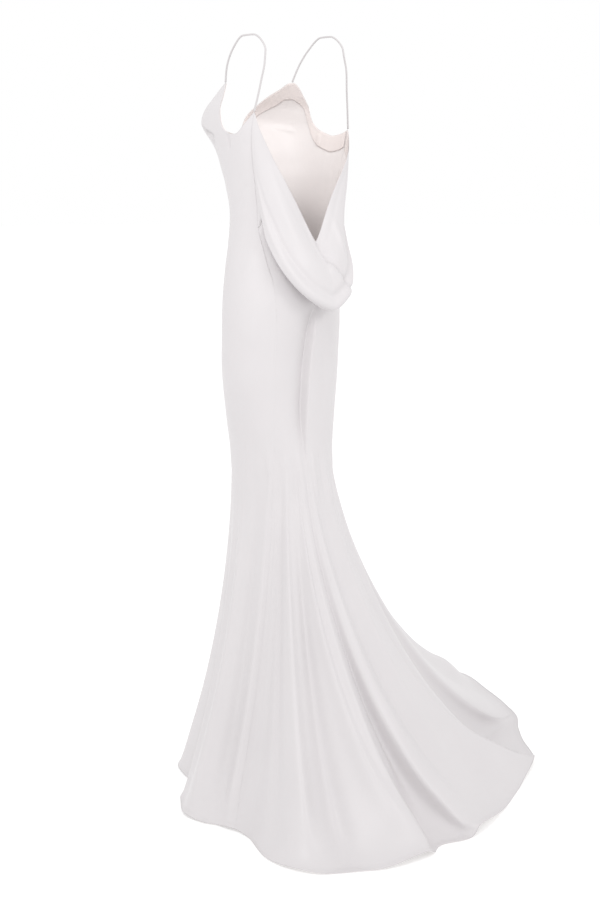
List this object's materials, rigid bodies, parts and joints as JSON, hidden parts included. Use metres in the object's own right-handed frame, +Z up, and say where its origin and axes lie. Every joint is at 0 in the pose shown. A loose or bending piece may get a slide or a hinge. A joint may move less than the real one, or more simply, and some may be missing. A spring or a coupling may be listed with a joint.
{
  "type": "wedding dress",
  "caption": "Slim bias-cut wedding gown with thin straps, a deep draped cowl back, a flare from the knee and a sweeping train, shown worn with nobody inside.",
  "frame": {"origin": "midway between the tops of the two shoulder straps, where the dress is held up", "axes": "+Z up, -Y to the front of the dress, +X to the wearer's left"},
  "size_m": [1.0246, 0.8003, 1.5885],
  "materials": {
    "front_satin": "heavy satin-back crepe, soft sheen",
    "back_left_satin": "heavy satin-back crepe, soft sheen",
    "back_right_satin": "heavy satin-back crepe, soft sheen",
    "cowl_satin": "heavy satin-back crepe, soft sheen",
    "front_facing_blush": "light woven facing, matt",
    "back_facing_blush": "light woven facing, matt",
    "strap_left_satin": "rolled satin strap",
    "strap_right_satin": "rolled satin strap"
  },
  "bodies": {
    "root": {"front": "front_satin", "back_left": "back_left_satin", "back_right": "back_right_satin", "back_cowl": "cowl_satin", "front_facing": "front_facing_blush", "back_facing": "back_facing_blush", "strap_left": "strap_left_satin", "strap_right": "strap_right_satin"}
  },
  "joints": []
}
